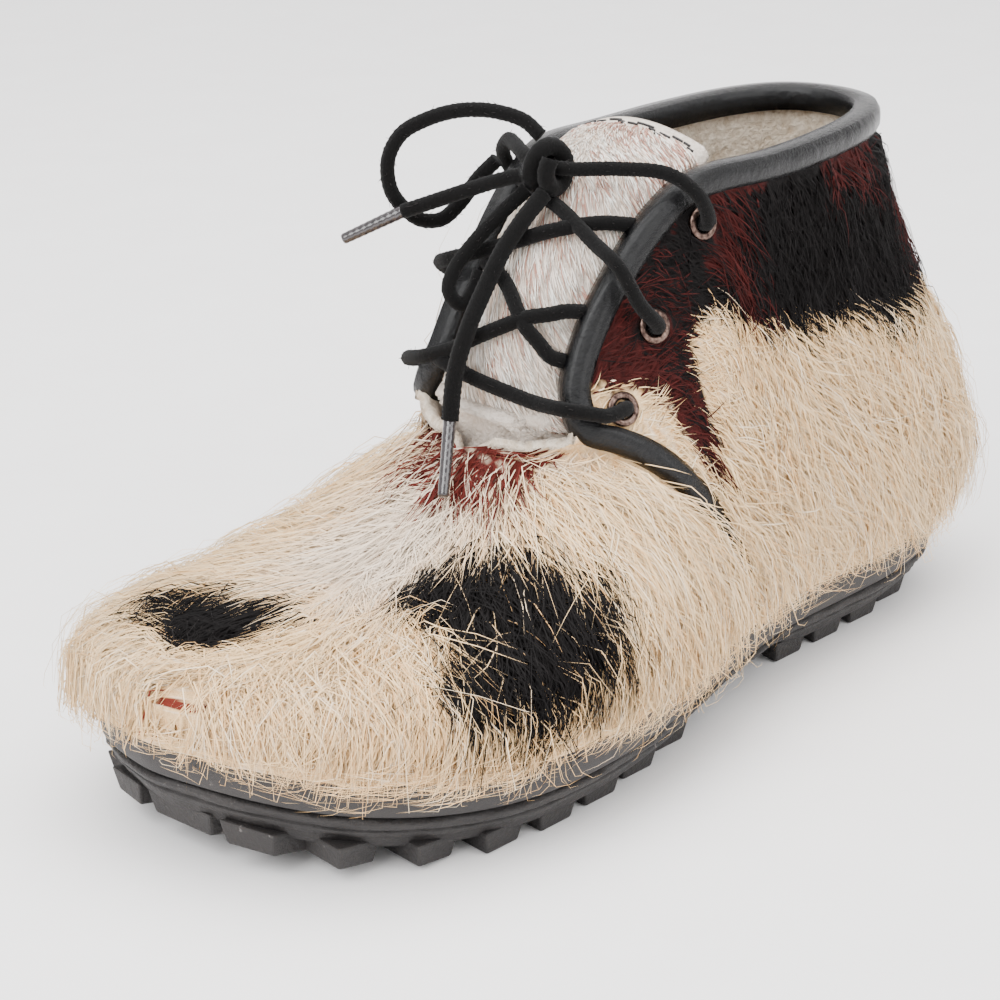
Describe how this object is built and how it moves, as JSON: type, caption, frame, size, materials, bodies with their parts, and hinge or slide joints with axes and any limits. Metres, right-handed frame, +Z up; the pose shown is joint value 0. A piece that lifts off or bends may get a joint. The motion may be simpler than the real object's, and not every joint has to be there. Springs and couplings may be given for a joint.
{
  "type": "apres-ski boot",
  "caption": "Low lace-up winter boot with a long-haired hide upper, bound collar and facings, tongue, braided lace and a lugged rubber cup sole.",
  "frame": {"origin": "middle of the heel's flat floor face, on the floor the boot stands on", "axes": "+X to the toe, +Y to the wearer's left, +Z up from the floor"},
  "size_m": [0.3061, 0.135, 0.1648],
  "materials": {
    "tread_rubber": "rough moulded black rubber",
    "black_rubber": "smooth matte black rubber",
    "pile_insole": "cream pile",
    "long_fur": "long-haired hide, cream with black and red-brown patches",
    "tongue_hide": "short-haired white hide",
    "black_binding": "glossy cracked black binding",
    "antique_metal": "darkened rolled metal",
    "black_lace": "matte black braid",
    "aglet_plastic": "dark clear plastic"
  },
  "bodies": {
    "root": {"outsole": "tread_rubber", "midsole_cup": "black_rubber", "insole": "pile_insole", "upper": "long_fur", "tongue": "tongue_hide", "binding": "black_binding", "eyelet_left_1": "antique_metal", "eyelet_left_2": "antique_metal", "eyelet_left_3": "antique_metal", "eyelet_right_1": "antique_metal", "eyelet_right_2": "antique_metal", "eyelet_right_3": "antique_metal", "lace_bars_lower": "black_lace", "lace_bars_upper": "black_lace", "lace_bars_top": "black_lace", "lace_knot": "black_lace", "lace_loop_large": "black_lace", "lace_loop_small": "black_lace", "lace_end_short": "black_lace", "lace_end_long": "black_lace", "aglet_short": "aglet_plastic", "aglet_long": "aglet_plastic"}
  },
  "joints": []
}
